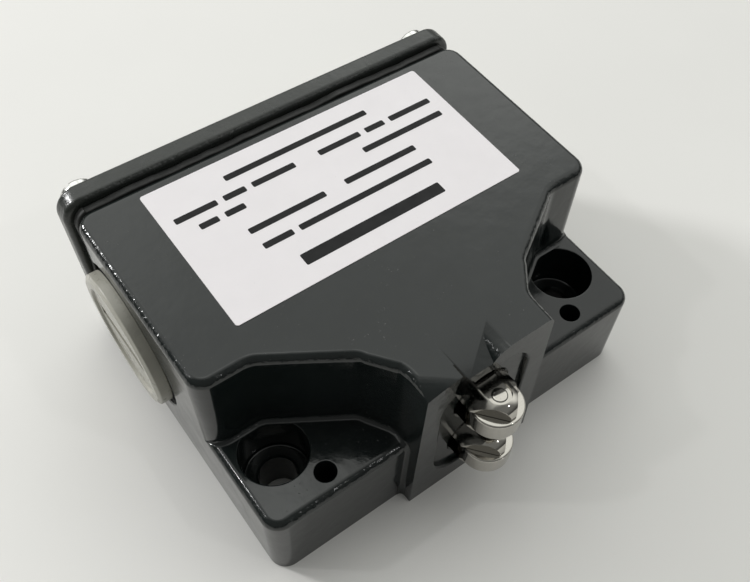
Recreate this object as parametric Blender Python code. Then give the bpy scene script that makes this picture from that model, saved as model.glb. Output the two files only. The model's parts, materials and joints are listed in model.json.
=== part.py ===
"""Two-plunger precision limit switch, modelled piece by piece.

Frame: the mounting face is Z = 0 and the label faces +Z.  The origin lies on the mounting
face, midway between the two fixing holes.  X runs from ear to ear, the roller plungers point
to -Y and the lid closes the +Y end.  Every length below is in millimetres; the meshes are
scaled to metres when they become objects.
"""

import math

import bmesh
import bpy
from mathutils import Matrix, Vector

MM = 0.001
GAP = 0.3                      # clearance between neighbouring solids

# Housing
DEPTH = 35.4                   # mounting face to label face
HALF_WIDTH = 37.4
BOX_FRONT = 5.7                # front wall of the switch chamber
BOX_BACK = 43.5                # end face that carries the lid
NECK_FRONT = -13.5
NECK_HALF = 12.9
NECK_DRAFT = 1.2               # how much the neck narrows on each side up to the label face
EAR_FRONT = -11.2
EAR_TOP = 17.7
EDGE_ROUND = 1.4
WALL = 4.0
FLOOR = 3.2
CHAMBER_FRONT = 9.5
NECK_CHAMBER_FRONT = -3.7
NECK_CHAMBER_HALF = 9.6

# Fixing and dowel holes in the ears
FIX_SPACING = 60.0
FIX_HOLE = 3.25                # radius, clears an M6 screw
COUNTERBORE = 5.5              # radius
SEAT_HEIGHT = 8.8
DOWEL_X, DOWEL_Y, DOWEL_HOLE = 25.4, -7.35, 1.75

# Plungers
PLUNGER_SPACING = 12.0
PLUNGER_Z = {"upper": DEPTH / 2 + PLUNGER_SPACING / 2, "lower": DEPTH / 2 - PLUNGER_SPACING / 2}
PLUNGER = 5.0                  # radius
STROKE = 5.0
ROLLER_Y = -16.2
ROLLER = 4.3                   # radius
ROLLER_HALF = 2.0
PIN = 1.25                     # radius
NOSE_Y = -19.9
GUIDE_ROUND = 7.4              # end radius of the guide's oblong section
GUIDE_POCKET = -10.4           # front end of the pocket that holds the guide
DISH_DEPTH = 0.8               # shallow rounded dish round the plungers in the nose face
STEM = 2.2                     # radius
STEM_TIP = 12.3

# Lid, gasket and cable entry
LID_HALF = 38.3
LID_TOP = 36.3
GASKET = (BOX_BACK + GAP, BOX_BACK + 1.1)
LID = (GASKET[1] + GAP, GASKET[1] + GAP + 3.9)
LID_SCREW_X = 33.6
LID_SCREW_Z = (3.8, DEPTH - 3.8)
ENTRY_Y, ENTRY_Z = 31.1, DEPTH / 2
ENTRY_HOLE = 10.3              # radius
ENTRY_FACE = 13.3              # radius of the machined seat around the cable entry
ENTRY_SEAT = -HALF_WIDTH + 0.8

# Snap-action switch elements
SWITCH_FRONT, SWITCH_BACK = 14.5, 36.0
SWITCH_HALF = 19.0
SWITCH_HALF_HEIGHT = 5.6
CAVITY = (17.0, 25.5)          # contact space, front to back
CAVITY_HALF = 13.0
BRIDGE = (20.6, 21.6)
TERMINAL_X = (-11.0, -4.6, 4.6, 11.0)
THROUGH_SCREW_X, THROUGH_SCREW_Y = 16.6, 25.0
EARTH = (24.6, 24.0)


# ---------------------------------------------------------------- shape helpers
def rounded(corners, steps=3):
    """Outline from (x, y, radius) corners, each corner replaced by an arc."""
    outline = []
    for i, (x, y, radius) in enumerate(corners):
        corner = Vector((x, y))
        if radius == 0:
            outline.append(corner)
            continue
        back = (Vector(corners[i - 1][:2]) - corner).normalized()
        ahead = (Vector(corners[(i + 1) % len(corners)][:2]) - corner).normalized()
        half = back.angle(ahead) / 2
        centre = corner + (back + ahead).normalized() * (radius / math.sin(half))
        first = corner + back * (radius / math.tan(half)) - centre
        last = corner + ahead * (radius / math.tan(half)) - centre
        start = math.atan2(first.y, first.x)
        sweep = (math.atan2(last.y, last.x) - start + math.pi) % math.tau - math.pi
        for k in range(steps + 1):
            angle = start + sweep * k / steps
            outline.append(centre + Vector((math.cos(angle), math.sin(angle))) * radius)
    return outline


def mirrored(corners):
    """Full corner list from its right half, mirrored across x = 0."""
    return corners + [(-x, y, radius) for x, y, radius in reversed(corners)]


def rectangle(x0, x1, y0, y1, radius=0.0, steps=3):
    return rounded([(x0, y0, radius), (x1, y0, radius), (x1, y1, radius), (x0, y1, radius)], steps)


def prism(outline, axis, low, high, edge=0.0, ends=(False, True)):
    """Outline extruded along an axis; edge rounds the rim of the low and high ends asked for."""
    place = {
        "X": lambda p: (low, p[0], p[1]),
        "Y": lambda p: (p[0], low, p[1]),
        "Z": lambda p: (p[0], p[1], low),
    }[axis]
    along = Vector([high - low if letter == axis else 0 for letter in "XYZ"])
    bm = bmesh.new()
    base = bm.faces.new([bm.verts.new(place(p)) for p in outline])
    top = bmesh.ops.extrude_face_region(bm, geom=[base], use_keep_orig=True)["geom"]
    moved = [item for item in top if isinstance(item, bmesh.types.BMVert)]
    bmesh.ops.translate(bm, verts=moved, vec=along)
    bmesh.ops.recalc_face_normals(bm, faces=bm.faces)
    if edge:
        level = "XYZ".index(axis)
        wanted = [value for value, asked in zip((low, high), ends) if asked]
        rim = [
            e for e in bm.edges
            if any(all(abs(v.co[level] - value) < 1e-4 for v in e.verts) for value in wanted)
        ]
        bmesh.ops.bevel(bm, geom=rim, offset=edge, segments=2, profile=0.5, affect="EDGES")
    return bm


def box(x0, x1, y0, y1, z0, z1):
    return prism([(x0, y0), (x1, y0), (x1, y1), (x0, y1)], "Z", z0, z1)


def turned(profile, axis, centre, steps=24):
    """Profile of (distance along the axis, radius) points spun round the axis."""
    bm = bmesh.new()
    verts = [bm.verts.new((radius, 0, along)) for along, radius in profile]
    edges = [bm.edges.new(pair) for pair in zip(verts, verts[1:])]
    if profile[0][1] > 0:
        edges.append(bm.edges.new((verts[-1], verts[0])))
    bmesh.ops.spin(bm, geom=verts + edges, cent=(0, 0, 0), axis=(0, 0, 1), angle=math.tau,
                   steps=steps, use_merge=True)
    bmesh.ops.remove_doubles(bm, verts=bm.verts, dist=1e-4)
    turn = {
        "X": Matrix.Rotation(math.pi / 2, 4, "Y"),
        "Y": Matrix.Rotation(-math.pi / 2, 4, "X"),
        "Z": Matrix.Identity(4),
    }[axis]
    bmesh.ops.transform(bm, matrix=Matrix.Translation(centre) @ turn, verts=bm.verts)
    bmesh.ops.recalc_face_normals(bm, faces=bm.faces)
    return bm


def cylinder(axis, centre, radius, low, high, steps=24):
    """Cylinder from low to high, measured along the axis from the centre."""
    return turned([(low, 0), (low, radius), (high, radius), (high, 0)], axis, centre, steps)


def combined(*parts):
    """One mesh holding several shapes that don't touch."""
    whole = bmesh.new()
    for part in parts:
        mesh = bpy.data.meshes.new("scratch")
        part.to_mesh(mesh)
        whole.from_mesh(mesh)
        bpy.data.meshes.remove(mesh)
        part.free()
    return whole


# ---------------------------------------------------------------- object helpers
def material(name, colour, roughness, metallic=0.0):
    made = bpy.data.materials.new(name)
    made.use_nodes = True
    shader = made.node_tree.nodes["Principled BSDF"]
    shader.inputs["Base Color"].default_value = (*colour, 1)
    shader.inputs["Roughness"].default_value = roughness
    shader.inputs["Metallic"].default_value = metallic
    return made


def solid(name, bm, look, origin=(0, 0, 0)):
    """Named object from a mesh in millimetres, its origin at the given point."""
    bmesh.ops.translate(bm, verts=bm.verts, vec=-Vector(origin))
    bmesh.ops.scale(bm, verts=bm.verts, vec=(MM, MM, MM))
    mesh = bpy.data.meshes.new(name)
    bm.to_mesh(mesh)
    bm.free()
    mesh.shade_smooth()
    mesh.set_sharp_from_angle(angle=math.radians(35))
    mesh.materials.append(look)
    thing = bpy.data.objects.new(name, mesh)
    thing.location = Vector(origin) * MM
    bpy.context.scene.collection.objects.link(thing)
    return thing


def shape(target, bm, operation="DIFFERENCE"):
    """Boolean cut or union on the target, with a hidden tool body."""
    tool = solid(f"{target.name}_tool_{len(target.modifiers) + 1}", bm, target.data.materials[0])
    tool.hide_render = True
    tool.hide_set(True)
    tool.display_type = "WIRE"
    modifier = target.modifiers.new(operation.title(), "BOOLEAN")
    modifier.operation = operation
    modifier.solver = "EXACT"
    modifier.object = tool


def screw(name, look, axis, seat, head, shank, length, slot=0.9):
    """Slotted screw: head is (radius, height) above its seat, the shank goes down from it."""
    radius, height = head
    profile = [(-length, 0), (-length, shank), (0, shank), (0, radius),
               (height * 0.6, radius), (height, radius * 0.72), (height, 0)]
    made = solid(name, turned(profile, axis, seat, 12), look, seat)
    x, y, z = seat
    if axis == "Y":
        groove = box(x - 5, x + 5, y + height - 0.9, y + height + 1, z - slot / 2, z + slot / 2)
    else:
        groove = box(x - 5, x + 5, y - slot / 2, y + slot / 2, z + height - 0.9, z + height + 1)
    shape(made, groove)
    return made


def coil(name, look, centre, radius, wire, low, high, turns, per_turn=8):
    """Compression spring about a line along Y, from low to high."""
    curve = bpy.data.curves.new(name, "CURVE")
    curve.dimensions = "3D"
    curve.bevel_depth = wire * MM
    curve.bevel_resolution = 1
    curve.use_fill_caps = True
    count = turns * per_turn + 1
    line = curve.splines.new("POLY")
    line.points.add(count - 1)
    for i, point in enumerate(line.points):
        angle = math.tau * i / per_turn
        along = (low + wire) + (high - low - 2 * wire) * i / (count - 1) - centre[1]
        point.co = (radius * math.cos(angle) * MM, along * MM, radius * math.sin(angle) * MM, 1)
    curve.materials.append(look)
    thing = bpy.data.objects.new(name, curve)
    thing.location = Vector(centre) * MM
    bpy.context.scene.collection.objects.link(thing)
    return thing


def hang(child, parent):
    """Parent one object to another without moving it."""
    child.parent = parent
    child.matrix_parent_inverse = Matrix.Translation(-parent.location)


# ---------------------------------------------------------------- sub-assemblies
def build_housing(paint):
    """Die-cast body: chamber box and neck over a low flange whose ears carry the fixings."""
    body_outline = rounded(mirrored([
        (NECK_HALF, NECK_FRONT - 2.5, 1.0),
        (13.2, -8.0, 5.0),
        (15.8, -2.4, 3.0),
        (28.6, BOX_FRONT, 4.0),
        (HALF_WIDTH, BOX_FRONT, 3.0),
        (HALF_WIDTH, BOX_BACK, 3.0),
    ]))
    ears = rounded([(-HALF_WIDTH, EAR_FRONT, 3.0), (HALF_WIDTH, EAR_FRONT, 3.0),
                    (HALF_WIDTH, BOX_FRONT + 8, 0), (-HALF_WIDTH, BOX_FRONT + 8, 0)])
    body = prism(body_outline, "Z", 0, DEPTH, EDGE_ROUND)
    for v in body.verts:
        if v.co.y < -7.0:
            v.co.x -= math.copysign(NECK_DRAFT * v.co.z / DEPTH, v.co.x)
    bmesh.ops.connect_verts_nonplanar(body, angle_limit=math.radians(0.2), faces=body.faces)
    housing = solid("housing", body, paint)
    shape(housing, prism(ears, "Z", 0, EAR_TOP, EDGE_ROUND), "UNION")
    # The nose face is milled flat, which leaves its edges sharp.
    shape(housing, box(-20, 20, NECK_FRONT - 8, NECK_FRONT, -1, DEPTH + 1))

    # Chamber for the switches, its corners left solid for the lid screws.
    top = DEPTH - FLOOR
    boss_x, boss_z = HALF_WIDTH - 8.0, 4.0
    inner = HALF_WIDTH - WALL
    chamber = [
        (boss_x, FLOOR), (boss_x, FLOOR + boss_z), (inner, FLOOR + boss_z),
        (inner, top - boss_z), (boss_x, top - boss_z), (boss_x, top),
    ]
    chamber += [(-x, z) for x, z in reversed(chamber)]
    shape(housing, prism(chamber, "Y", CHAMBER_FRONT, BOX_BACK + 2))
    shape(housing, box(-NECK_CHAMBER_HALF, NECK_CHAMBER_HALF, NECK_CHAMBER_FRONT,
                       CHAMBER_FRONT + 1, 3.8, DEPTH - 3.8))
    shape(housing, prism(oblong(GUIDE_ROUND + GAP), "Y", GUIDE_POCKET, NECK_CHAMBER_FRONT + 1))
    shape(housing, prism(rectangle(-8.4, 8.4, 4.2, 31.6, 6.0), "Y", NECK_FRONT - 2,
                         NECK_FRONT + DISH_DEPTH))
    shape(housing, combined(*[cylinder("Y", (0, 0, z), PLUNGER + GAP, NECK_FRONT - 1,
                                       GUIDE_POCKET + 1) for z in PLUNGER_Z.values()]))

    # Bosses on the chamber floor for the switch and earth screws, then their holes.
    posts = [(x, THROUGH_SCREW_Y, 2.9) for x in (-THROUGH_SCREW_X, THROUGH_SCREW_X)]
    posts.append((*EARTH, 4.0))
    for x, y, radius in posts:
        shape(housing, cylinder("Z", (x, y, 0), radius, FLOOR - 1, FLOOR + 2.6, 12), "UNION")
    holes = [cylinder("Z", (x, y, 0), 1.8 if radius < 3 else 2.3, 1.4, 8, 12)
             for x, y, radius in posts]
    holes += [cylinder("Y", (x, 0, z), 2.3, BOX_BACK - 11, BOX_BACK + 2, 12)
              for x in (-LID_SCREW_X, LID_SCREW_X) for z in LID_SCREW_Z]
    holes += [cylinder("Y", (x, 0, DEPTH / 2), 1.8, CHAMBER_FRONT - 7, CHAMBER_FRONT + 1, 12)
              for x in (-13, 13)]
    shape(housing, combined(*holes))

    # Fixing holes with counterbores, dowel holes, and the cable entry with its seat.
    drilled = []
    for side in (-1, 1):
        x = side * FIX_SPACING / 2
        stepped = [(-1, 0), (-1, FIX_HOLE), (SEAT_HEIGHT, FIX_HOLE),
                   (SEAT_HEIGHT, COUNTERBORE), (EAR_TOP + 2, COUNTERBORE), (EAR_TOP + 2, 0)]
        drilled.append(turned(stepped, "Z", (x, 0, 0), 24))
        drilled.append(cylinder("Z", (side * DOWEL_X, DOWEL_Y, 0), DOWEL_HOLE, -1, 20, 12))
    entry = [(-2, 0), (-2, ENTRY_FACE), (0.8, ENTRY_FACE), (0.8, ENTRY_HOLE),
             (WALL + 1, ENTRY_HOLE), (WALL + 1, 0)]
    drilled.append(turned(entry, "X", (-HALF_WIDTH, ENTRY_Y, ENTRY_Z), 32))
    shape(housing, combined(*drilled))

    # Tongue over the upper plunger: a flat that slopes down from the label face to the nose face.
    tongue = [(-5.6, 36.4), (-5.6, DEPTH), (-3.6, 32.1), (-0.05, 32.1), (0.4, 33.6), (1.2, 34.6),
              (2.3, 35.0), (3.4, DEPTH), (4.5, 36.4)]
    notch = prism(tongue, "Y", NECK_FRONT - 1.5, -7.6)
    bmesh.ops.bisect_plane(
        notch, geom=notch.verts[:] + notch.edges[:] + notch.faces[:], clear_inner=True,
        plane_co=(0, -7.6, DEPTH + 0.01),
        plane_no=(0, -math.sin(math.radians(20)), math.cos(math.radians(20))))
    bmesh.ops.holes_fill(notch, edges=[edge for edge in notch.edges if edge.is_boundary])
    bmesh.ops.recalc_face_normals(notch, faces=notch.faces)
    shape(housing, notch)
    # Bevel that rolls off the front left corner of the nose.
    bevel = [(0, 2), (0, 0)] + [(t, -0.21 * t - 0.045 * t * t) for t in (1.5, 3, 5, 8)] + [(8, 2)]
    along = Vector((-0.804, 0.595, 0)).normalized()
    across = Vector((0, 0, 1)).cross(along)
    place = Matrix.Translation((-5.5, -13.6, DEPTH)) @ Matrix(
        (along, across, (0, 0, 1))).transposed().to_4x4()
    cutter = prism(bevel, "X", -0.15, 13)
    bmesh.ops.transform(cutter, matrix=place, verts=cutter.verts)
    shape(housing, cutter)
    # Hollow beside the tongue, open to the upper plunger.
    hollow = [(-5.6, 36), (-6.5, 33.4), (-6.7, 31.6), (-6.3, 30.0), (-5.0, 28.0), (-3.4, 26.4),
              (-1.9, 28.6), (-3.3, 31.4), (-5.3, 34.9)]
    shape(housing, prism(hollow, "Y", NECK_FRONT - 1, -11.2))
    return housing


def oblong(radius, steps=8):
    """Oblong outline in (x, z) around both plunger axes."""
    outline = []
    for centre, start in ((PLUNGER_Z["upper"], 0), (PLUNGER_Z["lower"], math.pi)):
        for k in range(steps + 1):
            angle = start + math.pi * k / steps
            outline.append((radius * math.cos(angle), centre + radius * math.sin(angle)))
    return outline


def build_lid(paint, rubber, steel):
    """Flat lid over a gasket, held by a screw in each corner."""
    corners = [(x, z) for x in (-LID_SCREW_X, LID_SCREW_X) for z in LID_SCREW_Z]

    def holes(radius, low, high):
        return combined(*[cylinder("Y", (x, 0, z), radius, low, high, 12) for x, z in corners])

    sheet = rectangle(-HALF_WIDTH + 0.6, HALF_WIDTH - 0.6, 0.6, DEPTH - 0.6, 3.0, 3)
    gasket = solid("lid_gasket", prism(sheet, "Y", *GASKET), rubber)
    window = rectangle(-28.6, 28.6, 4.2, DEPTH - 4.2, 2.0, 3)
    shape(gasket, prism(window, "Y", GASKET[0] - 1, GASKET[1] + 1))
    shape(gasket, holes(2.4, GASKET[0] - 1, GASKET[1] + 1))

    plate = rectangle(-LID_HALF, LID_HALF, 0.3, LID_TOP, 4.0)
    lid = solid("lid", prism(plate, "Y", *LID, 1.2, (True, True)), paint)
    shape(lid, holes(2.3, LID[0] - 1, LID[1] + 1))
    for number, (x, z) in enumerate(corners, 1):
        screw(f"lid_screw_{number}", steel, "Y", (x, LID[1] + GAP, z), (3.2, 2.0), 2.0, 13.0)


def build_cable_entry(plastic, rubber):
    """Blanking plug in the cable entry: coin slot in a dished head, with a sealing ring."""
    centre = (ENTRY_SEAT, ENTRY_Y, ENTRY_Z)
    ring = [(-0.9, 10.4), (-0.3, 10.4), (-0.3, 11.8), (-0.9, 11.8)]
    solid("cable_plug_seal", turned(ring, "X", centre, 28), rubber, centre)
    head = [(-2.6, 0), (-2.6, 9.6), (-3.0, 9.8), (-3.0, 11.4), (-2.6, 12.1), (-1.2, 12.1),
            (-1.2, 10.0), (4.6, 10.0), (5.2, 9.4), (5.2, 0)]
    plug = solid("cable_plug", turned(head, "X", centre, 32), plastic, centre)
    slot = box(ENTRY_SEAT - 4, ENTRY_SEAT - 1.4, ENTRY_Y - 8, ENTRY_Y + 8,
               ENTRY_Z - 1.3, ENTRY_Z + 1.3)
    shape(plug, slot)


def build_plunger(level, steel, spring_steel):
    """Forked plunger with its cross pin, roller and return spring."""
    z = PLUNGER_Z[level]
    axis_point = (0, ROLLER_Y, z)
    nose = 2.6
    profile = [(NOSE_Y, 0)]
    for k in range(4):
        angle = math.pi / 2 * k / 3
        profile.append((NOSE_Y + nose * (1 - math.cos(angle)), PLUNGER - nose * (1 - math.sin(angle))))
    profile += [(-1.6, PLUNGER), (-1.6, 5.6), (-0.1, 5.6), (-0.1, STEM), (STEM_TIP, STEM),
                (STEM_TIP, 0)]
    plunger = solid(f"plunger_{level}", turned(profile, "Y", (0, 0, z), 24), steel, axis_point)
    fork = ROLLER_HALF + GAP
    shape(plunger, box(-6, 6, NOSE_Y - 1, ROLLER_Y + ROLLER + 0.5, z - fork, z + fork))
    shape(plunger, cylinder("Z", axis_point, PIN + 0.25, -6, 6, 12))
    pad = rounded([(-1.9, -9.0, 0), (-1.9, ROLLER_Y - 1.9, 1.88), (1.9, ROLLER_Y - 1.9, 1.88),
                   (1.9, -9.0, 0)])
    shape(plunger, combined(prism(pad, "Z", z + 4.3, z + 6), prism(pad, "Z", z - 6, z - 4.3)))
    # The fork is cut back to a blunt wedge, so that the roller stands clear at both sides.
    for side in (-1, 1):
        wedge = [(side * 5.66, -13.6), (side * 5.66, -21), (side * -0.43, -21)]
        shape(plunger, prism(wedge, "Z", z - 6, z + 6))

    pin = solid(f"roller_pin_{level}", cylinder("Z", axis_point, PIN, -4.4, 4.4, 12), steel,
                axis_point)
    tread = [(-ROLLER_HALF, PIN + GAP), (ROLLER_HALF, PIN + GAP), (ROLLER_HALF, ROLLER - 0.3),
             (ROLLER_HALF - 0.3, ROLLER), (0.3 - ROLLER_HALF, ROLLER),
             (-ROLLER_HALF, ROLLER - 0.3)]
    roller = solid(f"roller_{level}", turned(tread, "Z", axis_point, 24), steel, axis_point)
    hang(pin, plunger)
    hang(roller, plunger)
    coil(f"return_spring_{level}", spring_steel, (0, 4, z), 3.6, 0.35, -0.1 + GAP,
         CHAMBER_FRONT, 5)


def build_guide(alloy, steel, rubber):
    """Plunger guide block, the plate that backs the springs, and the sealing diaphragm."""
    guide = solid("plunger_guide",
                  prism(oblong(GUIDE_ROUND), "Y", GUIDE_POCKET + GAP, -2.6, 0.5, (True, False)),
                  alloy)
    flange = rectangle(-9.3, 9.3, 4.1, DEPTH - 4.1, 2.0, 3)
    shape(guide, prism(flange, "Y", NECK_CHAMBER_FRONT + GAP, -1.9), "UNION")
    shape(guide, combined(*[cylinder("Y", (0, 0, z), PLUNGER + GAP, -16, 0, 24)
                            for z in PLUNGER_Z.values()]))

    def plate(name, low, high, look):
        outline = rectangle(-16.0, 16.0, 5.0, DEPTH - 5.0, 2.0, 3)
        made = solid(name, prism(outline, "Y", low, high), look)
        bores = [cylinder("Y", (0, 0, z), STEM + GAP, 0, 20, 16) for z in PLUNGER_Z.values()]
        bores += [cylinder("Y", (x, 0, DEPTH / 2), 1.8, 0, 20, 12) for x in (-13, 13)]
        shape(made, combined(*bores))

    plate("spring_plate", CHAMBER_FRONT + GAP, 11.0, steel)
    plate("diaphragm", 11.0 + GAP, 12.1, rubber)
    for side, x in (("left", -13), ("right", 13)):
        screw(f"spring_plate_screw_{side}", steel, "Y", (x, 12.4, DEPTH / 2), (2.5, 1.8), 1.5, 9.0)


def build_switch(level, plastic, button_plastic, brass, spring_steel, steel):
    """Snap-action element: open-sided body, push button, contact bridge and four terminals."""
    z = PLUNGER_Z[level]
    floor = z - 4.6
    body = solid(f"switch_body_{level}",
                 prism(rectangle(-SWITCH_HALF, SWITCH_HALF, SWITCH_FRONT, SWITCH_BACK, 1.0, 2),
                       "Z", z - SWITCH_HALF_HEIGHT, z + SWITCH_HALF_HEIGHT), plastic)
    shape(body, box(-CAVITY_HALF, CAVITY_HALF, *CAVITY, floor, z + SWITCH_HALF_HEIGHT + 1))
    bores = [turned([(SWITCH_FRONT - 1, 0), (SWITCH_FRONT - 1, 2.6), (CAVITY[0] + 1, 2.6),
                     (CAVITY[0] + 1, 0)], "Y", (0, 0, z), 16),
             cylinder("Y", (0, 0, z), 1.8, CAVITY[1] - 1, 33.2, 12)]
    for x in TERMINAL_X:
        bores.append(box(x - 1.8, x + 1.8, CAVITY[1] - 1, SWITCH_BACK + 1, floor, floor + 1.4))
        bores.append(cylinder("Y", (x, 0, z + 0.6), 1.8, 29, SWITCH_BACK + 1, 10))
    bores += [cylinder("Z", (x, THROUGH_SCREW_Y, z), 1.8, -8, 8, 12)
              for x in (-THROUGH_SCREW_X, THROUGH_SCREW_X)]
    shape(body, combined(*bores))

    button = [(STEM_TIP + GAP, 0), (STEM_TIP + GAP, 1.6), (STEM_TIP + GAP + 0.4, 2.0), (15.0, 2.0),
              (15.0, 1.5), (27.3, 1.5), (27.3, 0)]
    solid(f"switch_button_{level}", turned(button, "Y", (0, 0, z), 12), button_plastic,
          (0, STEM_TIP + GAP, z))

    bar = box(-12.3, 12.3, *BRIDGE, z - 2.6, z + 2.6)
    bridge = solid(f"contact_bridge_{level}", bar, brass, (0, BRIDGE[0], z))
    rivets = [cylinder("Y", (side * TERMINAL_X[3], 0, z), 1.2, BRIDGE[0] - 0.3, BRIDGE[0] + 0.4, 8)
              for side in (-1, 1)]
    rivets += [cylinder("Y", (side * TERMINAL_X[2], 0, z), 1.2, BRIDGE[1] - 0.4, BRIDGE[1] + 0.3, 8)
               for side in (-1, 1)]
    shape(bridge, combined(*rivets), "UNION")
    shape(bridge, box(-1.9, 1.9, BRIDGE[0] - 2, BRIDGE[1] + 2, z - 1.9, z + 1.9))
    coil(f"contact_spring_{level}", spring_steel, (0, 23.5, z), 2.2, 0.25, BRIDGE[1] + GAP,
         CAVITY[1] - GAP, 3)

    for number, x in enumerate(TERMINAL_X, 1):
        outer = abs(x) > 8
        tab = 18.6 if outer else 23.8
        strip = solid(f"terminal_{level}_{number}",
                      box(x - 1.5, x + 1.5, tab, SWITCH_BACK + 1.1, floor + 0.3, floor + 1.1), brass)
        shape(strip, box(x - 1.5, x + 1.5, tab, tab + 0.8, floor + 0.3, z + 2.0), "UNION")
        pad = box(x - 2.8, x + 2.8, SWITCH_BACK + 0.3, SWITCH_BACK + 1.1, floor + 0.3, z + 4.4)
        shape(strip, pad, "UNION")
        low, high = (tab + 0.4, tab + 1.4) if outer else (tab - 0.6, tab + 0.4)
        shape(strip, cylinder("Y", (x, 0, z), 1.2, low, high, 8), "UNION")
        shape(strip, cylinder("Y", (x, 0, z + 0.6), 1.8, SWITCH_BACK - 1, SWITCH_BACK + 3, 10))
        screw(f"terminal_screw_{level}_{number}", steel, "Y", (x, SWITCH_BACK + 1.4, z + 0.6),
              (2.5, 1.8), 1.5, 8.0)


def build_switch_fixings(sheet_plastic, steel, brass):
    """Sheet between the elements, the long screws through both, and the earth terminal."""
    outline = rectangle(-SWITCH_HALF, SWITCH_HALF, SWITCH_FRONT, SWITCH_BACK, 1.0, 2)
    sheet = solid("separator_sheet",
                  prism(outline, "Z", DEPTH / 2 - 0.1, DEPTH / 2 + 0.1), sheet_plastic)
    shape(sheet, combined(*[cylinder("Z", (x, THROUGH_SCREW_Y, DEPTH / 2), 1.8, -2, 2, 12)
                            for x in (-THROUGH_SCREW_X, THROUGH_SCREW_X)]))
    top = PLUNGER_Z["upper"] + SWITCH_HALF_HEIGHT + GAP
    for side, x in (("left", -THROUGH_SCREW_X), ("right", THROUGH_SCREW_X)):
        screw(f"switch_screw_{side}", steel, "Z", (x, THROUGH_SCREW_Y, top), (2.7, 2.0), 1.5,
              top - 1.8)
    x, y = EARTH
    post_top = FLOOR + 2.6
    clamp = solid("earth_clamp", box(x - 4, x + 4, y - 4, y + 4, post_top + 0.3, post_top + 1.5), brass)
    shape(clamp, cylinder("Z", (x, y, 0), 2.3, 0, 20, 12))
    screw("earth_screw", steel, "Z", (x, y, post_top + 1.8), (3.4, 2.4), 2.0, 5.8)


def main():
    for old in list(bpy.data.objects):
        bpy.data.objects.remove(old, do_unlink=True)

    paint = material("slate_grey_paint", (0.050, 0.056, 0.058), 0.22)
    alloy = material("hard_anodised_alloy", (0.075, 0.075, 0.070), 0.30, 0.7)
    rubber = material("black_rubber", (0.018, 0.018, 0.018), 0.65)
    steel = material("stainless_steel", (0.60, 0.60, 0.58), 0.15, 1.0)
    zinc = material("zinc_plated_steel", (0.55, 0.56, 0.56), 0.30, 1.0)
    spring_steel = material("spring_steel", (0.42, 0.42, 0.43), 0.35, 1.0)
    grey_plastic = material("light_grey_plastic", (0.46, 0.45, 0.42), 0.35)
    white_film = material("white_label_film", (0.80, 0.80, 0.80), 0.40)
    black_plastic = material("black_phenolic", (0.022, 0.022, 0.024), 0.45)
    red_plastic = material("red_button_plastic", (0.45, 0.035, 0.025), 0.40)
    brass = material("silvered_brass", (0.66, 0.50, 0.26), 0.30, 1.0)
    clear_sheet = material("separator_card", (0.52, 0.42, 0.28), 0.55)

    build_housing(paint)
    build_lid(paint, rubber, zinc)
    build_cable_entry(grey_plastic, rubber)
    build_guide(alloy, zinc, rubber)
    for level in ("upper", "lower"):
        build_plunger(level, steel, spring_steel)
        build_switch(level, black_plastic, red_plastic, brass, spring_steel, zinc)
    build_switch_fixings(clear_sheet, zinc, brass)
    label = rectangle(-27.0, 27.0, 11.6, 41.1, 1.0, 3)
    solid("rating_label", prism(label, "Z", DEPTH + 0.15, DEPTH + 0.4), white_film)


main()
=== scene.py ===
import json
import math

import bmesh
import bpy
from mathutils import Matrix, Vector, noise


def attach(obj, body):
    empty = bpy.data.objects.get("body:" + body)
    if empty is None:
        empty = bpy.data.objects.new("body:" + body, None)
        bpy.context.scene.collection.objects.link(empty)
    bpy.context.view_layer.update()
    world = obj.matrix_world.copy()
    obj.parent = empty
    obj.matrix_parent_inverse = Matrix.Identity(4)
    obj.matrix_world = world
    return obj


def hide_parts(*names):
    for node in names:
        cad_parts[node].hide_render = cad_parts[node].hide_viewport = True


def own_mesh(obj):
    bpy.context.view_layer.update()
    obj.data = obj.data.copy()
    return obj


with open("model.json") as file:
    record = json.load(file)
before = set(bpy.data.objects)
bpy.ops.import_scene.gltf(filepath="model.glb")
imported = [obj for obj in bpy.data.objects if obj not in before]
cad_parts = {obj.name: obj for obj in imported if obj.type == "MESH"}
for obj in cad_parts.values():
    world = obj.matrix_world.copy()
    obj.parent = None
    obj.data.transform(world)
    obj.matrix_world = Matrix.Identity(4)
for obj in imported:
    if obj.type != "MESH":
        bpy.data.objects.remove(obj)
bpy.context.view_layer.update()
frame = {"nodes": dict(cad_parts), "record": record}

scene = bpy.context.scene

MM = 0.001

# Dimensions in millimetres, in the row frame.
DEPTH = 35.4
HALF_WIDTH = 37.4
BOX_FRONT, BOX_BACK = 5.7, 43.5
NECK_FRONT, NECK_HALF, NECK_DRAFT = -13.5, 12.9, 1.2
EAR_FRONT, EAR_TOP = -11.2, 17.7
EDGE_ROUND = 1.4
WALL, FLOOR = 4.0, 3.2
CHAMBER_FRONT, NECK_CHAMBER_FRONT, NECK_CHAMBER_HALF = 9.5, -3.7, 9.6
FIX_X, FIX_HOLE, COUNTERBORE, SEAT_HEIGHT = 30.0, 3.25, 5.5, 8.8
DOWEL_X, DOWEL_Y, DOWEL_HOLE = 25.4, -7.35, 1.75
PLUNGER_Z = {"upper": 23.7, "lower": 11.7}
PLUNGER, STEM, PIN = 5.0, 2.2, 1.25
ROLLER_Y, ROLLER, ROLLER_HALF, NOSE_Y = -16.2, 4.3, 2.0, -19.9
GUIDE_ROUND, GUIDE_POCKET = 7.4, -10.4
DISH_DEPTH = 0.8
LID_X, LID_SCREW_X, LID_SCREW_Z = 38.3, 33.6, (3.8, 31.6)
GASKET = (43.8, 44.6)
LID = (44.9, 48.8)
ENTRY_Y, ENTRY_Z, ENTRY_HOLE, ENTRY_FACE, ENTRY_SEAT = 31.1, 17.7, 10.3, 13.3, -36.6


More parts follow.
